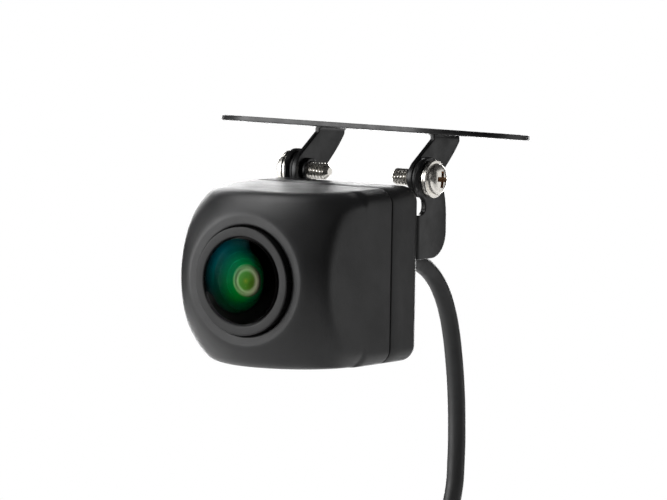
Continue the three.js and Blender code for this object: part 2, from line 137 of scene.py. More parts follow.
# ---- camera ----
def make_camera():
    azimuth, elevation, roll = math.radians(32.6), math.radians(5.34), math.radians(1.0)
    distance, frame_width = 1.4, 0.11266
    right_of_axis, above_axis = -0.00476, -0.01285
    turn = Matrix.Rotation(PITCH, 3, "X")
    back = turn @ Vector((math.sin(azimuth) * math.cos(elevation),
                          -math.cos(azimuth) * math.cos(elevation), math.sin(elevation)))
    level = turn @ Vector((math.cos(azimuth), math.sin(azimuth), 0))
    right = Matrix.Rotation(roll, 3, back) @ level
    up = back.cross(right)
    aim = AXIS + right * right_of_axis + up * above_axis
    data = bpy.data.cameras.new("camera")
    data.sensor_width = 36
    data.lens = data.sensor_width * distance / frame_width
    data.clip_start = 0.01
    camera = bpy.data.objects.new("camera", data)
    bpy.context.scene.collection.objects.link(camera)
    facing = Matrix((right, up, back)).transposed().to_4x4()
    camera.matrix_world = Matrix.Translation(aim + back * distance) @ facing
    bpy.context.scene.camera = camera


make_camera()


# ---- materials ----
REFLECTION_PATCH_Y = -35                # middle of the painted reflections on the surface behind the front glass
REFLECTION_PATCH_DEPTH = 12                # reach of the painted reflections along the lens axis


def new_material(name, color, roughness, metallic=0.0, specular=0.5):
    material = bpy.data.materials.new(name)
    material.use_nodes = True
    shader = material.node_tree.nodes["Principled BSDF"]
    shader.inputs["Base Color"].default_value = (*color, 1)
    shader.inputs["Roughness"].default_value = roughness
    shader.inputs["Metallic"].default_value = metallic
    shader.inputs["Specular IOR Level"].default_value = specular
    return material, shader


def noise(material, scale, detail, rough=0.5):
    nodes, links = material.node_tree.nodes, material.node_tree.links
    place = nodes.new("ShaderNodeTexCoord")
    texture = nodes.new("ShaderNodeTexNoise")
    texture.inputs["Scale"].default_value = scale
    texture.inputs["Detail"].default_value = detail
    texture.inputs["Roughness"].default_value = rough
    links.new(place.outputs["Object"], texture.inputs["Vector"])
    return texture.outputs["Fac"]


def ramp(material, value, stops):
    """Turns a value into a colour, by stops of (position, colour)."""
    nodes, links = material.node_tree.nodes, material.node_tree.links
    blend = nodes.new("ShaderNodeValToRGB")
    elements = blend.color_ramp.elements
    while len(elements) < len(stops):
        elements.new(0.5)
    for element, (position, color) in zip(elements, stops):
        element.position = position
        element.color = (*color, 1)
    links.new(value, blend.inputs["Fac"])
    return blend.outputs["Color"]


def grey(level):
    return (level, level, level)


def vary(material, shader, color, spread, scale):
    """Slow colour variation around color."""
    low = tuple(c * (1 - spread) for c in color)
    high = tuple(c * (1 + spread) for c in color)
    cloud = noise(material, scale, 3)
    shade = ramp(material, cloud, [(0.35, low), (0.65, high)])
    material.node_tree.links.new(shade, shader.inputs["Base Color"])


def vary_roughness(material, shader, low, high, scale):
    cloud = noise(material, scale, 4, 0.6)
    level = ramp(material, cloud, [(0.35, grey(low)), (0.65, grey(high))])
    material.node_tree.links.new(level, shader.inputs["Roughness"])


def emboss(material, shader, scale, depth, detail=2.0):
    """Fine relief, depth metres high."""
    nodes, links = material.node_tree.nodes, material.node_tree.links
    bump = nodes.new("ShaderNodeBump")
    bump.inputs["Strength"].default_value = 1.0
    bump.inputs["Distance"].default_value = depth
    links.new(noise(material, scale, detail, 0.6), bump.inputs["Height"])
    links.new(bump.outputs["Normal"], shader.inputs["Normal"])


def grained_plastic(name, color, low, high, depth, scale, specular=0.5):
    """Plastic or rubber, its roughness between low and high, with a grain depth metres high."""
    material, shader = new_material(name, color, (low + high) / 2, specular=specular)
    vary(material, shader, color, 0.12, 90)
    vary_roughness(material, shader, low, high, 160)
    emboss(material, shader, scale, depth, 2.5)
    return material


def coated_metal():
    color = (0.008, 0.008, 0.0085)
    material, shader = new_material("black_powder_coat", color, 0.38)
    vary(material, shader, color, 0.15, 140)
    vary_roughness(material, shader, 0.3, 0.44, 400)
    emboss(material, shader, 2600, 0.000012, 1.5)
    return material


def bright_metal(name, color, low, high):
    material, shader = new_material(name, color, (low + high) / 2, metallic=1.0)
    vary(material, shader, color, 0.06, 300)
    vary_roughness(material, shader, low, high, 900)
    emboss(material, shader, 3000, 0.000002)
    return material


def cable_jacket():
    color = (0.012, 0.012, 0.0125)
    material, shader = new_material("cable_jacket", color, 0.48, specular=0.45)
    vary(material, shader, color, 0.12, 120)
    vary_roughness(material, shader, 0.42, 0.55, 500)
    emboss(material, shader, 3000, 0.000006)
    return material


def clear_glass():
    color = (0.95, 0.98, 0.96)
    material, shader = new_material("coated_glass", color, 0, specular=0.2)
    shader.inputs["IOR"].default_value = 1.06
    shader.inputs["Transmission Weight"].default_value = 1.0
    vary(material, shader, color, 0.01, 60)
    return material


def lens_painted_reflections():
    """Painted reflections, what the coated elements behind the front glass show: blue and green patches
    that fade into black, and a small ring, pale outside and red within."""
    material, shader = new_material("lens_painted_reflections", grey(0.01), 0.6, specular=0)
    nodes, links = material.node_tree.nodes, material.node_tree.links
    place = nodes.new("ShaderNodeTexCoord")

    def painted_reflection_patch(x, above_axis, width, height, stops):
        """A soft patch of painted reflection. Stops run from its edge, at 0, to its middle, at 1."""
        centre = Vector((x, REFLECTION_PATCH_Y, LENS_Z + above_axis))
        size = Vector((width, REFLECTION_PATCH_DEPTH, height))
        mapping = nodes.new("ShaderNodeMapping")
        mapping.vector_type = "TEXTURE"
        mapping.inputs["Location"].default_value = HEAD @ (centre * MM)
        mapping.inputs["Rotation"].default_value = (PITCH, 0, 0)
        mapping.inputs["Scale"].default_value = size * MM
        sphere = nodes.new("ShaderNodeTexGradient")
        sphere.gradient_type = "SPHERICAL"
        links.new(place.outputs["Object"], mapping.inputs["Vector"])
        links.new(mapping.outputs["Vector"], sphere.inputs["Vector"])
        return ramp(material, sphere.outputs["Fac"], stops)

    def add(a, b):
        mix = nodes.new("ShaderNodeMix")
        mix.data_type = "RGBA"
        mix.blend_type = "ADD"
        mix.inputs["Factor"].default_value = 1
        links.new(a, mix.inputs["A"])
        links.new(b, mix.inputs["B"])
        return mix.outputs["Result"]

    blue = painted_reflection_patch(-3.7, 3.3, 5.6, 6.4, [
        (0, grey(0)), (0.4, (0, 0.012, 0.014)), (1, (0, 0.026, 0.042))])
    green = painted_reflection_patch(-1.5, 0.5, 5.0, 5.8, [
        (0, grey(0)), (0.25, (0, 0.012, 0.003)), (0.6, (0, 0.072, 0.004)), (1, (0.001, 0.07, 0.001))])
    ring = painted_reflection_patch(0, 0, 3.0, 3.0, [
        (0, grey(0)), (0.08, grey(0)), (0.22, (0.05, 0.035, 0.028)), (0.4, (0.1, 0.08, 0.06)),
        (0.54, (0.025, 0.01, 0.002)), (0.8, (0.025, 0, 0)), (0.93, (0.045, 0.008, 0)),
        (1, (0.1, 0.03, 0.002))])
    links.new(add(add(blue, green), ring), shader.inputs["Base Color"])
    return material


def inner_material(name, color, roughness, spread, scale):
    material, shader = new_material(name, color, roughness)
    vary(material, shader, color, spread, scale)
    return material, shader


def solder_mask():
    material, shader = inner_material("solder_mask", (0.015, 0.11, 0.035), 0.35, 0.3, 700)
    emboss(material, shader, 1200, 0.00002)
    return material


def filter_glass():
    material, shader = inner_material("filter_glass", (0.35, 0.08, 0.12), 0.05, 0.05, 100)
    shader.inputs["Transmission Weight"].default_value = 0.8
    return material


def sensor_chip():
    material, _ = inner_material("sensor_chip", (0.03, 0.028, 0.05), 0.15, 0.3, 900)
    return material


CASING = grained_plastic("grained_casing", (0.011, 0.011, 0.0115), 0.38, 0.47, 0.000024, 5200, 0.38)
BEZEL = grained_plastic("bezel_plastic", (0.013, 0.013, 0.0132), 0.4, 0.48, 0.000004, 7000, 0.25)
GLOSS_BLACK = grained_plastic("gloss_black", grey(0.004), 0.25, 0.35, 0.000002, 6000, 0.15)
NYLON = grained_plastic("black_nylon", grey(0.011), 0.45, 0.6, 0.000006, 3000)
RUBBER = grained_plastic("black_rubber", grey(0.013), 0.6, 0.75, 0.00001, 2500, 0.35)
COATED = coated_metal()
CHROME = bright_metal("bright_plating", (0.92, 0.89, 0.83), 0.2, 0.32)
RECESS = bright_metal("recess_wall", (0.55, 0.36, 0.22), 0.25, 0.4)
STEEL = bright_metal("zinc_plating", (0.5, 0.5, 0.49), 0.25, 0.4)
JACKET = cable_jacket()
GLASS = clear_glass()
# painted reflections of the lamps in the lens, for the surface behind the front glass
PAINTED_LENS_REFLECTIONS = lens_painted_reflections()
BOARD = solder_mask()
FILTER_GLASS = filter_glass()
CHIP = sensor_chip()


# ---- mesh helpers ----
def add_piece(name, solid, place, materials, body, node, sharp=35):
    """Makes an object from a bmesh in millimetres and puts it in the assembly."""
    bmesh.ops.scale(solid, vec=(MM, MM, MM), verts=solid.verts)
    bmesh.ops.recalc_face_normals(solid, faces=solid.faces)
    mesh = bpy.data.meshes.new(name)
    solid.to_mesh(mesh)
    solid.free()
    mesh.shade_smooth()
    mesh.set_sharp_from_angle(angle=math.radians(sharp))
    for material in materials:
        mesh.materials.append(material)
    piece = bpy.data.objects.new(name, mesh)
    bpy.context.scene.collection.objects.link(piece)
    piece.matrix_world = place
    bpy.context.view_layer.update()
    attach(piece, body)
    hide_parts(node)
    return piece


def bezier(start, control, end, t):
    """The point at t, from 0 to 1, on a curve that leaves start and reaches end along control."""
    return tuple(s * (1 - t) ** 2 + c * 2 * t * (1 - t) + e * t ** 2
                 for s, c, e in zip(start, control, end))


def curve_between(start, control, end, count):
    """Points on such a curve, without its start."""
    return [bezier(start, control, end, i / count) for i in range(1, count + 1)]


def rounded(corners, steps=5):
    """A closed outline whose corners, given as (a, b, radius), are eased into short curves."""
    points = []
    for i, (a, b, radius) in enumerate(corners):
        corner = Vector((a, b))
        if not radius:
            points.append((a, b))
            continue
        before = Vector(corners[i - 1][:2]) - corner
        after = Vector(corners[(i + 1) % len(corners)][:2]) - corner
        reach = min(radius, before.length * 0.49, after.length * 0.49)
        start, end = corner + before.normalized() * reach, corner + after.normalized() * reach
        points += [tuple(start)] + curve_between(start, corner, end, steps)
    return points


def join_loops(solid, loops):
    """Faces between each closed loop of vertices and the next."""
    for loop, following in zip(loops, loops[1:]):
        for k in range(len(loop)):
            n = (k + 1) % len(loop)
            solid.faces.new((loop[k], loop[n], following[n], following[k]))


def ring_solid(outline_at, angles, to_point):
    """A closed outline of (radius, along) points carried round a closed ring of angles."""
    solid = bmesh.new()
    loops = [[solid.verts.new(to_point(r, t, angle)) for r, t in outline_at(angle)] for angle in angles]
    join_loops(solid, loops + loops[:1])
    bmesh.ops.remove_doubles(solid, verts=solid.verts, dist=1e-5)
    bmesh.ops.recalc_face_normals(solid, faces=solid.faces)
    return solid


def even_angles(count):
    return [2 * math.pi * i / count for i in range(count)]


def along_x(side):
    """Places (radius, along, angle) about the tilt axis, on one side. The next two do it for Y and Z."""
    return lambda r, x, angle: (side * x, r * math.cos(angle), r * math.sin(angle))


def along_y(x, z):
    return lambda r, y, angle: (x + r * math.cos(angle), y, z + r * math.sin(angle))


def along_z(x, y):
    return lambda r, z, angle: (x + r * math.cos(angle), y + r * math.sin(angle), z)


about_lens = along_y(0, LENS_Z)
about_plug = along_z(PLUG_X, CORD_BACK_Y)


def turned(outline, to_point, sides=96):
    """An outline of (radius, along) points turned about the axis that to_point stands for."""
    return ring_solid(lambda angle: outline, even_angles(sides), to_point)


def as_object(solid):
    mesh = bpy.data.meshes.new("working")
    solid.to_mesh(mesh)
    solid.free()
    piece = bpy.data.objects.new("working", mesh)
    bpy.context.scene.collection.objects.link(piece)
    return piece


def combine(solid, tool, operation):
    """The union or difference of two solids."""
    first, second = as_object(solid), as_object(tool)
    modifier = first.modifiers.new("combine", "BOOLEAN")
    modifier.operation = operation
    modifier.solver = "EXACT"
    modifier.object = second
    bpy.context.view_layer.update()
    result = bmesh.new()
    evaluated = first.evaluated_get(bpy.context.evaluated_depsgraph_get())
    result.from_mesh(evaluated.data)
    for piece in (first, second):
        mesh = piece.data
        bpy.data.objects.remove(piece)
        bpy.data.meshes.remove(mesh)
    bmesh.ops.remove_doubles(result, verts=result.verts, dist=1e-5)
    return result


def move(solid, change):
    """Puts each vertex where change says."""
    for vert in solid.verts:
        vert.co = change(vert.co)
    return solid


def arc_points(x, y, radius, start, end, count):
    """Points from angle start to end, in degrees."""
    turns = [math.radians(start + (end - start) * i / count) for i in range(count + 1)]
    return [(x + radius * math.cos(a), y + radius * math.sin(a)) for a in turns]


def sheet_solid(loops, thickness, edge):
    """A flat sheet in X and Y with eased edges. The first loop is its outline, the others are holes."""
    curve = bpy.data.curves.new("working", "CURVE")
    curve.dimensions = "2D"
    curve.fill_mode = "BOTH"
    curve.extrude = thickness / 2 - edge
    curve.bevel_depth = edge
    curve.bevel_resolution = 2
    curve.offset = -edge
    for loop in loops:
        spline = curve.splines.new("POLY")
        spline.points.add(len(loop) - 1)
        spline.use_cyclic_u = True
        for point, (x, y) in zip(spline.points, loop):
            point.co = (x, y, 0, 1)
    piece = bpy.data.objects.new("working", curve)
    mesh = bpy.data.meshes.new_from_object(piece)
    solid = bmesh.new()
    solid.from_mesh(mesh)
    bpy.data.objects.remove(piece)
    bpy.data.meshes.remove(mesh)
    bpy.data.curves.remove(curve)
    bmesh.ops.remove_doubles(solid, verts=solid.verts, dist=1e-4)
    return solid


def bend_length(radius, thickness):
    """How much of a flat sheet a right-angled bend takes up."""
    return math.pi / 2 * (radius + thickness / 2)


def fold(solid, side, start, radius, thickness, picked):
    """Bends the picked part of a sheet down at a right angle, beyond X = start on one side."""
    slices = 10
    arc = bend_length(radius, thickness)
    for i in range(slices + 1):
        everything = [*solid.verts, *solid.edges, *solid.faces]
        across = side * (start + arc * i / slices)
        bmesh.ops.bisect_plane(
            solid, geom=everything, dist=1e-5, plane_co=(across, 0, 0), plane_no=(1, 0, 0))
    for vert in [v for v in solid.verts if side * v.co.x > start and picked(v.co)]:
        beyond = side * vert.co.x - start
        angle = min(beyond / arc, 1) * math.pi / 2
        rest = max(beyond - arc, 0)
        r = radius + thickness / 2 + vert.co.z
        across = start + r * math.sin(angle) + rest * math.cos(angle)
        height = r * math.cos(angle) - rest * math.sin(angle) - radius - thickness / 2
        vert.co = (side * across, vert.co.y, height)
    return solid


def inside(polygon):
    """A test of whether a point lies within a polygon of (x, y) points."""
    def test(point):
        odd = False
        for (x0, y0), (x1, y1) in zip(polygon, polygon[1:] + polygon[:1]):
            if (y0 > point.y) != (y1 > point.y):
                crossing = x0 + (x1 - x0) * (point.y - y0) / (y1 - y0)
                odd ^= point.x < crossing
        return odd
    return test


# ---- cord, stored coil, tie and plug ----
def cord_route():
    """The cord's middle line from the gland's tip to the plug, measured from the tilt axis."""
    lead = [
        (0, 4.4, -15.24), (0, 6.5, -15.04), (0, 8.5, -14.85), (0, 12, -14.5), (0, 15.3, -14.2),
        (0, 18.6, -14.25), (0, 21.9, -15.05), (0, 25.1, -16.7), (0, 28, -19.15), (0, 30.4, -22.4),
        (0, 32.3, -26.3), (0, 33.8, -30.7), (0, 35.1, -35.6), (0, 36.2, -41.8), (0, 36.8, -48),
        (-0.2, CORD_BACK_Y, -54), (-1.6, CORD_BACK_Y, -60), (-3.9, CORD_BACK_Y, -65),
        (-5.5, CORD_BACK_Y, -68.8), (-6.5, CORD_BACK_Y, -74),
    ]
    steps = 16
    coil = []
    for i in range(COIL_TURNS * steps + 1):
        turn = 2 * math.pi * i / steps
        along = COIL_PITCH * (i / steps - COIL_TURNS / 2)
        coil.append((along, COIL_Y + COIL_R * math.cos(turn), COIL_Z - COIL_R * math.sin(turn)))
    tail = [(PLUG_X, CORD_BACK_Y, z) for z in (-86, -91.2, -94, -97.6)]
    return lead + coil + tail


def make_cord():
    curve = bpy.data.curves.new("cord", "CURVE")
    curve.dimensions = "3D"
    curve.resolution_u = 8
    curve.bevel_depth = CORD_R * MM
    curve.bevel_resolution = 6
    curve.use_fill_caps = True
    route = cord_route()
    spline = curve.splines.new("BEZIER")
    spline.bezier_points.add(len(route) - 1)
    for point, place in zip(spline.bezier_points, route):
        point.co = Vector(place) * MM
        point.handle_left_type = point.handle_right_type = "AUTO"
    curve.materials.append(JACKET)
    cord = bpy.data.objects.new("cord", curve)
    bpy.context.scene.collection.objects.link(cord)
    cord.matrix_world = PIVOT
    bpy.context.view_layer.update()
    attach(cord, "head")
    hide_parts("cord_lead", "cord_coil", "cord_tail")
    return cord


def make_plug():
    grip = rounded([
        (0, PLUG_TOP_Z, 0), (2.0, PLUG_TOP_Z, 0.4), (2.6, -101, 1), (4.2, -104, 1.2), (4.4, -112.6, 0.3),
        (5, -112.9, 0.3), (5, PLUG_FACE_Z, 0.3), (0, PLUG_FACE_Z, 0)])
    groove_depth, groove_top, groove_end = 0.28, -104.2, -112.3
    grooves = 10

    def ribbed(angle):
        depth = groove_depth * max(0, math.cos(grooves * angle)) ** 2
        return [(r - depth, z) if groove_end < z < groove_top else (r, z) for r, z in grip]
    grip_solid = ring_solid(ribbed, even_angles(160), about_plug)
    pieces = [add_piece("plug_body", grip_solid, PIVOT, [RUBBER], "head", "plug_grip")]
    start = PLUG_FACE_Z - SLIP
    shell = turned(rounded([
        (3.7, start, 0), (4.5, start, 0.1), (4.5, PLUG_END_Z, 0.25), (3.7, PLUG_END_Z, 0.2)]), about_plug)
    pieces.append(add_piece("plug_collar", shell, PIVOT, [NYLON], "head", "plug_shell"))
    insert = turned(rounded([
        (0, start, 0), (3.4, start, 0), (3.4, -121.5, 0.2), (0, -121.5, 0)]), about_plug, 64)
    pin_circle_r, pin_hole_r, hole_end = 1.7, 0.45, -118
    for turn in (45, 135, 225, 315):
        x, y, _ = about_plug(pin_circle_r, 0, math.radians(turn))
        hole = turned([(0, PLUG_END_Z), (pin_hole_r, PLUG_END_Z), (pin_hole_r, hole_end), (0, hole_end)],
                      along_z(x, y), 20)
        insert = combine(insert, hole, "DIFFERENCE")
    pieces.append(add_piece("plug_socket", insert, PIVOT, [NYLON], "head", "plug_insert"))
    return pieces


def make_tie():
    """A flat band round the turns, at the coil's front."""
    def band(x, y, radius):
        return rounded([(-x, -y, radius), (x, -y, radius), (x, y, radius), (-x, y, radius)], 6)
    outer, inner = band(9.15, 2.65, 2.4), band(8.6, 2.1, 1.9)
    half_height = 2.4
    solid = bmesh.new()
    rings = []
    for outline, up in ((outer, -half_height), (outer, half_height), (inner, half_height),
                        (inner, -half_height)):
        rings.append([solid.verts.new((x, COIL_Y - COIL_R + y, COIL_Z + up)) for x, y in outline])
    join_loops(solid, rings + rings[:1])
    edges = [e for e in solid.edges if e.is_manifold and e.calc_face_angle() > 1.2]
    bmesh.ops.bevel(solid, geom=edges, offset=0.12, segments=2, affect="EDGES")
    return add_piece("coil_tie", solid, PIVOT, [NYLON], "head", "cord_tie")


def make_gland():
    """The strain relief: a collar inside the wall, a neck through it and a ribbed taper outside."""
    inside_wall = REAR_Y - WALL
    outline = rounded([
        (0, inside_wall - 1.4, 0), (3.5, inside_wall - 1.4, 0.1), (3.5, inside_wall - SLIP, 0.1),
        (2.35, inside_wall - SLIP, 0), (2.35, REAR_Y + SLIP, 0), (3.3, REAR_Y + SLIP, 0.15),
        (3.1, REAR_Y + 1.2, 0.4), (2.9, -2.1, 0.1), (2.55, -2.1, 0.1), (2.5, -1.5, 0.1),
        (2.75, -1.4, 0.1), (2.6, -0.5, 0.1), (2.3, -0.5, 0.1), (2.25, 0.1, 0.1), (2.5, 0.2, 0.1),
        (2.35, 1.1, 0.1), (2.05, 1.1, 0.1), (2.05, 1.7, 0.1), (2.3, 1.8, 0.1),
        (2.1, GLAND_END_Y, 0.25), (0, GLAND_END_Y, 0)], 3)
    solid = turned(outline, about_lens, 64)
    return add_piece("strain_relief", solid, HEAD, [RUBBER], "head", "cable_gland")


cord = make_cord()
on_the_cord = [*make_plug(), make_tie()]
gland = make_gland()


# ---- casing ----
def square_radius(angle, half, corner):
    """Distance from the lens axis to a square with rounded corners."""
    c, s = abs(math.cos(angle)), abs(math.sin(angle))
    flat = half - corner
    if min(c, s) / max(c, s) * half <= flat:
        return half / max(c, s)
    along = flat * (c + s)
    return along + math.sqrt(along * along - 2 * flat * flat + corner * corner)


def dome_radius(depth):
    """The domed nose's radius, depth behind the flat band."""
    if depth >= DOME_Y:
        return DOME_R + DOME_RADIUS + (depth - DOME_Y)
    return DOME_R + math.sqrt(DOME_RADIUS ** 2 - (DOME_Y - depth) ** 2)


def soft_min(a, b, blend):
    """The smaller of two lengths, with a soft change from one to the other."""
    h = max(blend - abs(a - b), 0) / blend
    return min(a, b) - h * h * blend / 4


def section(angle, inset):
    """Distance from the lens axis to the casing's side, or to a line inset from it."""
    return square_radius(angle, HALF - inset, max(CORNER_R - inset, 0.6))


def casing_angles():
    """Directions round the lens axis, close together where the square's corners turn."""
    before, corner = [1.5 * i for i in range(25)], [37.5 + 0.75 * i for i in range(20)]
    quarter = before + corner + [52.5 + 1.5 * i for i in range(25)]
    return [math.radians(start + turn) for start in (0, 90, 180, 270) for turn in quarter]


def front_outline(angle):
    """From the opening over the band and the dome to the seam, then back along the wall's inside."""
    ease = 0.4
    on_band = (BAND_R - ease, BAND_Y)
    crease = (BAND_R, BAND_Y)
    depths = [0.45 + 0.35 * i for i in range(44)] + [16.5, 18, 20, 21.6]

    def nose(depth):
        return (soft_min(section(angle, 0), dome_radius(depth), EDGE_BLEND), BAND_Y + depth)
    points = [(OPENING_R, BAND_Y + 1.0), (OPENING_R, BAND_Y + 0.3), (OPENING_R + 0.09, BAND_Y + 0.09),
              (OPENING_R + 0.3, BAND_Y), (OPENING_R + 0.5, BAND_Y), (BAND_R - ease - 0.2, BAND_Y),
              on_band]
    points += curve_between(on_band, crease, nose(depths[0]), 6)
    points += [nose(depth) for depth in depths[1:]]
    points += [(section(angle, inset), SEAM_Y - step) for inset, step in (
        (0, 0.3), (0.06, 0.16), (0.3, 0.1), (0.4, 0), (0.4, 0.6), (1.3, 0.6), (1.3, 0), (WALL, 0))]
    for depth in (19, 16, 13, 10, 7, 4.5, 3, 1.8):
        inner = min(section(angle, WALL), dome_radius(depth) - WALL * 1.15)
        points.append((inner, BAND_Y + depth))
    points.append((OPENING_R, BAND_Y + 1.7))
    return points


def make_front():
    solid = ring_solid(front_outline, casing_angles(), about_lens)
    return add_piece("front_shell", solid, HEAD, [CASING], "head", "front_housing", 50)


def rear_outline(angle):
    """From the seam over the rounded rear edge to the cable's hole, then back along the inside."""
    edge = [math.pi / 2 * i / 10 for i in range(11)]
    start = SEAM_Y + SLIP
    points = [(section(angle, inset), start + step) for inset, step in (
        (WALL, 0), (0.4, 0), (0.3, 0.08), (0.06, 0.14), (0, 0.28))]
    points.append((section(angle, 0), -10))
    for t in edge:
        inset, step = REAR_EDGE_R * (1 - math.cos(t)), REAR_EDGE_R * (1 - math.sin(t))
        points.append((section(angle, inset), REAR_Y - step))
    inside_wall, inner_edge = REAR_Y - WALL, 0.8
    points += [(9, REAR_Y), (4, REAR_Y), (CABLE_HOLE_R, REAR_Y), (CABLE_HOLE_R, inside_wall),
               (6, inside_wall), (section(angle, WALL + inner_edge), inside_wall),
               (section(angle, WALL), inside_wall - inner_edge)]
    return points


CASE_CORNERS = [
    ("lower_left", -1, -1), ("lower_right", 1, -1), ("upper_left", -1, 1), ("upper_right", 1, 1)]


def make_rear():
    solid = ring_solid(rear_outline, casing_angles(), about_lens)
    well_r, floor = 1.9, REAR_Y - CASE_WELL_DEPTH
    for _, right, up in CASE_CORNERS:
        well = turned(rounded([(0, REAR_Y + 1, 0), (2.2, REAR_Y + 1, 0), (well_r, REAR_Y - 0.15, 0.2),
                               (well_r, floor, 0), (0, floor, 0)], 3),
                      along_y(right * POST, LENS_Z + up * POST), 40)
        solid = combine(solid, well, "DIFFERENCE")
    return add_piece("rear_shell", solid, HEAD, [CASING], "head", "rear_cover", 40)


# ---- lens ----
BEZEL_IN_R = 7.28              # a little smaller than in the CAD, like the glass
GLASS_R = 7.14
GLASS_RIM_Y = -37.1
GLASS_TOP_Y = -39.55


def make_bezel():
    outline = rounded([
        (BEZEL_IN_R, -36.35, 0.2), (7.5, -36.7, 0.25), (9.05, -36.7, 0.3), (9.05, -33.4, 0.1),
        (10.6, -33.4, 0.1), (10.6, -32.4, 0.1), (BEZEL_IN_R, -32.4, 0.1)], 6)
    solid = turned(outline, about_lens, 160)
    piece = add_piece("bezel_ring", solid, HEAD, [BEZEL, GLOSS_BLACK], "head", "lens_bezel")
    # Front faces keep the satin bezel finish; the side walls get the darker gloss black, partly a glossier
    # finish and partly painted shade on the narrow wall beside the band.
    for face in piece.data.polygons:
        facing_front = face.normal.y < -0.35
        face.material_index = 0 if facing_front else 1
    return piece


def make_front_glass():
    """A clear dome in front of a stepped surface that carries the painted lens reflections."""
    rise = GLASS_RIM_Y - GLASS_TOP_Y
    curve_r = (GLASS_R ** 2 + rise ** 2) / (2 * rise)
    dome = []
    for i in range(25):
        r = GLASS_R * i / 24
        dome.append((r, GLASS_TOP_Y + curve_r - math.sqrt(curve_r ** 2 - r ** 2)))
    behind = [(GLASS_R, -36.15), (5.65, -36.15), (5.35, -35.95), (4.9, -35.5), (4.75, -35.6), (4.6, -35.45),
              (3.7, -34.9), (3.5, -35.0), (3.3, -34.85), (2.7, -34.6), (2.5, -34.85), (2.2, -34.9),
              (1.9, -34.7), (1.5, -34.75), (1.0, -34.95), (0.5, -35.05), (0, -35.08)]
    solid = turned(dome + behind, about_lens, 128)
    for face in solid.faces:
        middle = face.calc_center_median()
        r = math.hypot(middle.x, middle.z - LENS_Z)
        # The back faces carry the painted reflections.
        if face.normal.y > 0.2:
            face.material_index = 1
        elif r > GLASS_R - 0.15 and middle.y > GLASS_RIM_Y:
            face.material_index = 2
    move(solid, lambda p: HEAD @ (p * MM) / MM)
    materials = [GLASS, PAINTED_LENS_REFLECTIONS, GLOSS_BLACK]
    piece = add_piece("front_glass", solid, Matrix(), materials, "head", "front_lens")
    # Light reaches the surface with the painted reflections through the dome.
    piece.visible_shadow = False
    return piece


# ---- mounting plate ----
TAB_BEND_R = 0.6               # inside each bend
THREAD_BORE_R = SCREW_R + 0.12


def tab_outline(base, grow, root):
    """The tab laid flat: X runs from its root at the plate to its round end, Y is behind the tilt axis."""
    lobe = arc_points(0, 0, TAB_LOBE_R + grow, 128, 308, 30)
    rear_corner = (TAB_REAR + grow, AXIS_DROP - 0.9)
    sweep = curve_between(lobe[-1], (9.2 + grow, 3.3 - grow / 2), rear_corner, 12)
    return [(root, TAB_FRONT - grow), (base - AXIS_DROP + 0.8, TAB_FRONT - grow),
            *((base - h, y) for y, h in lobe + sweep), (root, TAB_REAR + grow)]


def circle(x, y, radius, count=40):
    return arc_points(x, y, radius, 0, 360 - 360 / count, count - 1)


def slot(x, y):
    rear = arc_points(x, y + SLOT_REACH, SLOT_R, 0, 180, 16)
    return rear + arc_points(x, y - SLOT_REACH, SLOT_R, 180, 360, 16)


def mirrored(loop, side):
    return loop if side > 0 else [(-x, y) for x, y in reversed(loop)]


def make_plate():
    start = TAB_IN - TAB_BEND_R
    base = start + bend_length(TAB_BEND_R, SHEET) + AXIS_DROP - TAB_BEND_R
    # The slit around each tab reaches a little past the bend.
    root = start - 0.3
    outline = (arc_points(PLATE_HALF_STRAIGHT, PLATE_MIDDLE_Y, PLATE_END_R, -90, 90, 48)
               + arc_points(-PLATE_HALF_STRAIGHT, PLATE_MIDDLE_Y, PLATE_END_R, 90, 270, 48))
    loops = [outline]
    for side in (1, -1):
        cut = tab_outline(base, WINDOW_GAP, root) + list(reversed(tab_outline(base, 0, root)))
        loops.append(mirrored(cut, side))
        loops.append(mirrored(circle(base, 0, THREAD_BORE_R), side))
        loops.append(slot(side * SLOT_X, PLATE_MIDDLE_Y))
        loops.append(circle(side * END_HOLE_X, PLATE_MIDDLE_Y + END_HOLE_Y, CLEAR_R))
    solid = sheet_solid(loops, SHEET, edge=0.14)
    for side in (1, -1):
        picked = inside(mirrored(tab_outline(base, WINDOW_GAP / 2, root - 1), side))
        solid = fold(solid, side, start, TAB_BEND_R, SHEET, picked)
    middle = AXIS_DROP + SHEET / 2
    move(solid, lambda p: (p.x, p.y, p.z + middle))
    tip, foot = TAB_IN - BOSS_LENGTH, TAB_IN + 0.3
    for side in (1, -1):
        boss = turned(rounded([(THREAD_BORE_R, foot, 0), (BOSS_R, foot, 0), (BOSS_R, TAB_IN, 0),
                               (BOSS_R, tip, 0.2), (THREAD_BORE_R, tip, 0.1)], 4), along_x(side), 48)
        solid = combine(solid, boss, "UNION")
    return add_piece("plate_sheet", solid, PIVOT, [COATED], "bracket", "mounting_plate")


# ---- rear bracket ----
EAR_BEND_R = 0.3               # inside each bend


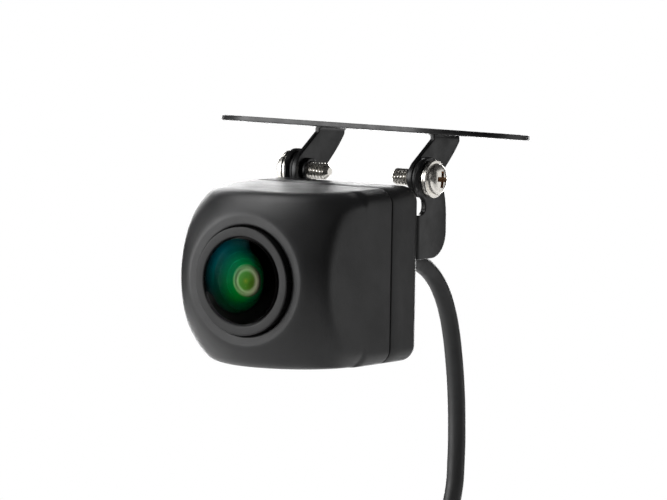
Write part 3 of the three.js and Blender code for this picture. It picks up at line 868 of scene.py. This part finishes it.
def make_rear_bracket():
    """The ears and the part between them laid flat in X and Z, then folded forward along both bends."""
    start = EAR_IN - EAR_BEND_R
    face = REAR_Y + SLIP
    bend_end = face + EAR_SHEET + EAR_BEND_R

    def flat(y):
        return start + bend_length(EAR_BEND_R, EAR_SHEET) + (y - bend_end)
    corner_r, corner_y = 4.3, 1.2
    throat = (-1.3, -3.6)
    side_view = (arc_points(corner_y, BRACKET_FOOT_Z + corner_r, corner_r, -90, 0, 14)
                 + curve_between((corner_y + corner_r, -7), (5.4, -2.8), (EAR_LOBE_R, -0.4), 10)
                 + arc_points(0, 0, EAR_LOBE_R, -6, 215, 44)
                 + [throat] + curve_between(throat, (-0.6, -5.8), (-2.6, -6), 10))
    ear = [(flat(y), z) for y, z in side_view]
    foot = math.degrees(math.asin((BRACKET_FOOT_Z - LENS_Z) / GLAND_NOTCH_R))
    notch = arc_points(0, LENS_Z, GLAND_NOTCH_R, foot, 180 - foot, 20)
    outline = list(reversed(notch)) + ear + [(-x, z) for x, z in reversed(ear)]
    loops = [outline]
    for side in (1, -1):
        loops.append(circle(side * flat(0), 0, CLEAR_R))
        loops.append(circle(side * BRACKET_SCREW_X, BRACKET_SCREW_Z, 1.1, 24))
    solid = sheet_solid(loops, EAR_SHEET, edge=0.16)
    for side in (1, -1):
        solid = fold(solid, side, start, EAR_BEND_R, EAR_SHEET, lambda p: True)
    middle = face + EAR_SHEET / 2
    move(solid, lambda p: (p.x, middle - p.z, p.y))
    return add_piece("bracket_sheet", solid, HEAD, [COATED], "head", "rear_bracket")


# ---- screws and washers ----
def cut_cross(solid, width, reach, depth, to_point):
    """Cuts a tapered cross. to_point takes (across, along, up) from the middle of the head's top."""
    for turned_across in (False, True):
        tool = bmesh.new()
        bmesh.ops.create_cube(tool, size=1)
        for vert in tool.verts:
            top = vert.co.z > 0
            a = vert.co.x * reach * (1 if top else 0.45)
            b = vert.co.y * width * (1 if top else 0.6)
            up = 0.6 if top else -depth
            vert.co = to_point(a, b, up) if turned_across else to_point(b, a, up)
        bmesh.ops.recalc_face_normals(tool, faces=tool.faces)
        solid = combine(solid, tool, "DIFFERENCE")
    return solid


def make_pivot_screw(hand, side):
    pitch, groove = 0.6, 0.34
    thread_end = TAB_IN - 0.4
    steps = int((thread_end - SCREW_TIP) / (pitch / 8))
    collar, top = SCREW_SEAT + 0.55, SCREW_SEAT + 1.9
    head = rounded([(FLANGE_R, SCREW_SEAT, 0.12), (FLANGE_R, collar, 0.2), (2.62, collar, 0.1),
                    (2.5, SCREW_SEAT + 1.4, 0.75), (1.4, SCREW_SEAT + 1.88, 0.8), (0, top, 0)], 5)

    def outline(angle):
        points = [(0, SCREW_TIP)]
        for i in range(steps + 1):
            x = SCREW_TIP + (thread_end - SCREW_TIP) * i / steps
            phase = (x / pitch + angle / (2 * math.pi)) % 1
            tooth = min(1, max(0, 1.25 * (1 - abs(2 * phase - 1)) - 0.1))
            chamfer = SCREW_R - 0.75 + (x - SCREW_TIP) * 1.1
            points.append((min(SCREW_R - groove * tooth, chamfer), x))
        return points + [(SCREW_R, thread_end + 0.3), (SCREW_R, SCREW_SEAT)] + head
    solid = ring_solid(outline, even_angles(72), along_x(side))
    solid = cut_cross(solid, width=0.95, reach=3.5, depth=1.3,
                      to_point=lambda a, b, up: (side * (top + up), a, b))
    piece = add_piece(f"screw_{hand}", solid, PIVOT, [CHROME, RECESS], "bracket",
                      f"pivot_screw_{hand}", 30)
    # The cross has browner walls and floor than the plated head around it.
    for face in piece.data.polygons:
        from_axis = math.hypot(face.center.y, face.center.z) / MM
        depth = top - abs(face.center.x) / MM
        wall = abs(face.normal.x) < 0.6
        if from_axis < 1.9 and depth < 1.6 and (wall or depth > 0.9):
            face.material_index = 1
    return piece


def make_spring_washer(hand, side):
    """A ring that is cut through at the bottom."""
    gap = math.radians(9)
    count = 90
    low, high = EAR_OUT + 0.07, EAR_OUT + 0.53
    corners = rounded([(CLEAR_R, low, 0.05), (SPRING_WASHER_R, low, 0.1),
                       (SPRING_WASHER_R, high, 0.1), (CLEAR_R, high, 0.05)], 3)
    solid = bmesh.new()
    loops = []
    for i in range(count + 1):
        angle = 3 * math.pi / 2 + gap / 2 + (2 * math.pi - gap) * i / count
        loops.append([solid.verts.new(along_x(side)(r, x, angle)) for r, x in corners])
    join_loops(solid, loops)
    solid.faces.new(loops[0])
    solid.faces.new(loops[-1])
    return add_piece(f"lock_ring_{hand}", solid, PIVOT, [CHROME], "head",
                     f"spring_washer_{hand}")


def make_friction_washer(hand, side):
    low, high = TAB_IN + SHEET + SLIP, EAR_IN - SLIP
    outline = rounded([
        (CLEAR_R, low, 0), (WASHER_R, low, 0.12), (WASHER_R, high, 0.12), (CLEAR_R, high, 0)], 4)
    solid = turned(outline, along_x(side), 72)
    return add_piece(f"disc_{hand}", solid, PIVOT, [NYLON], "head", f"friction_washer_{hand}")


def make_small_screw(name, node, x, z, seat, length, head_r, height):
    shank_r, pitch, groove = 0.8, 0.4, 0.14
    steps = int(length / 0.08)
    tip, top = seat - length, seat + height
    head = rounded([(shank_r, seat, 0), (head_r, seat, 0.1), (head_r * 0.93, top, 0.4), (0, top, 0)], 5)

    def outline(angle):
        points = [(0, tip)]
        for i in range(steps + 1):
            y = tip + (length - 0.3) * i / steps
            phase = (y / pitch - angle / (2 * math.pi)) % 1
            chamfer = 0.4 + (y - tip) * 0.9
            points.append((min(shank_r - groove * (1 - abs(2 * phase - 1)), chamfer), y))
        return points + head
    solid = ring_solid(outline, even_angles(40), along_y(x, z))
    solid = cut_cross(solid, width=0.45, reach=head_r * 1.15, depth=0.7,
                      to_point=lambda a, b, up: (x + a, top + up, z + b))
    return add_piece(name, solid, HEAD, [STEEL], "head", node)


def make_all_screws():
    for hand, side in (("right", 1), ("left", -1)):
        make_pivot_screw(hand, side)
        make_spring_washer(hand, side)
        make_friction_washer(hand, side)
        make_small_screw(
            f"bracket_bolt_{hand}", f"bracket_screw_{hand}", side * BRACKET_SCREW_X, BRACKET_SCREW_Z,
            seat=REAR_Y + EAR_SHEET + 2 * SLIP, length=4.6, head_r=1.8, height=1.0)
    for corner, right, up in CASE_CORNERS:
        make_small_screw(
            f"case_bolt_{corner}", f"case_screw_{corner}", right * POST, LENS_Z + up * POST,
            seat=REAR_Y - CASE_WELL_DEPTH + SLIP, length=15, head_r=1.7, height=1.2)


# ---- CAD nodes that stay as they are, inside the casing ----
def dress_inner_nodes():
    """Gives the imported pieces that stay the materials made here."""
    finishes = {
        "housing_seal": RUBBER, "lens_seal": RUBBER, "lens_barrel": GLOSS_BLACK, "middle_lens": GLASS,
        "rear_lens": GLASS, "lens_holder": NYLON, "ir_filter": FILTER_GLASS, "image_sensor": CHIP,
        "sensor_board": BOARD, "signal_board": BOARD, "cable_header": NYLON,
    }
    for corner, _, _ in CASE_CORNERS:
        finishes[f"board_spacer_{corner}"] = STEEL
    for name, material in finishes.items():
        mesh = frame["nodes"][name].data
        mesh.materials.clear()
        mesh.materials.append(material)


# ---- floor, world and lights ----
def make_floor():
    """A pale disc a little below the plug."""
    floor = bmesh.new()
    bmesh.ops.create_circle(floor, cap_ends=True, segments=96, radius=0.5)
    mesh = bpy.data.meshes.new("floor")
    floor.to_mesh(mesh)
    floor.free()
    material, shader = new_material("pale_floor", grey(0.85), 0.8)
    vary(material, shader, grey(0.85), 0.01, 20)
    mesh.materials.append(material)
    piece = bpy.data.objects.new("floor", mesh)
    bpy.context.scene.collection.objects.link(piece)
    piece.location.z = cad_low.z - 0.004


def make_world():
    """White behind the object, and softer light from all sides."""
    world = bpy.data.worlds.new("studio")
    world.use_nodes = True
    bpy.context.scene.world = world
    nodes, links = world.node_tree.nodes, world.node_tree.links
    nodes.clear()
    backdrop, fill = nodes.new("ShaderNodeBackground"), nodes.new("ShaderNodeBackground")
    backdrop.inputs["Color"].default_value = (1, 1, 1, 1)
    backdrop.inputs["Strength"].default_value = 1.0
    fill.inputs["Color"].default_value = (1, 1, 1, 1)
    fill.inputs["Strength"].default_value = 0.05
    seen, mix, out = (nodes.new("ShaderNodeLightPath"), nodes.new("ShaderNodeMixShader"),
                      nodes.new("ShaderNodeOutputWorld"))
    links.new(seen.outputs["Is Camera Ray"], mix.inputs["Fac"])
    links.new(fill.outputs["Background"], mix.inputs[1])
    links.new(backdrop.outputs["Background"], mix.inputs[2])
    links.new(mix.outputs["Shader"], out.inputs["Surface"])


def add_softbox(name, place, width, height, power):
    """A rectangular lamp that points at the object."""
    aim = Vector((0, 0, -0.02))
    data = bpy.data.lights.new(name, "AREA")
    data.shape = "RECTANGLE"
    data.size, data.size_y = width, height
    data.energy = power
    light = bpy.data.objects.new(name, data)
    bpy.context.scene.collection.objects.link(light)
    light.location = place
    light.rotation_euler = (aim - light.location).to_track_quat("-Z", "Y").to_euler()


def make_lights():
    add_softbox("key_front_left", (-0.52, -0.52, 0.02), 0.6, 0.6, 6.0)
    add_softbox("top", (-0.25, -0.25, 0.55), 0.5, 0.5, 4.0)
    add_softbox("behind_left", (-0.5, 0.85, 0.12), 0.9, 0.8, 17.0)
    add_softbox("behind_right", (0.65, 0.65, 0.05), 0.7, 0.7, 1.2)
    bpy.context.scene.view_settings.view_transform = "Standard"


make_front()
make_rear()
make_bezel()
make_front_glass()
make_plate()
make_rear_bracket()
make_all_screws()
dress_inner_nodes()
make_floor()
make_world()
make_lights()
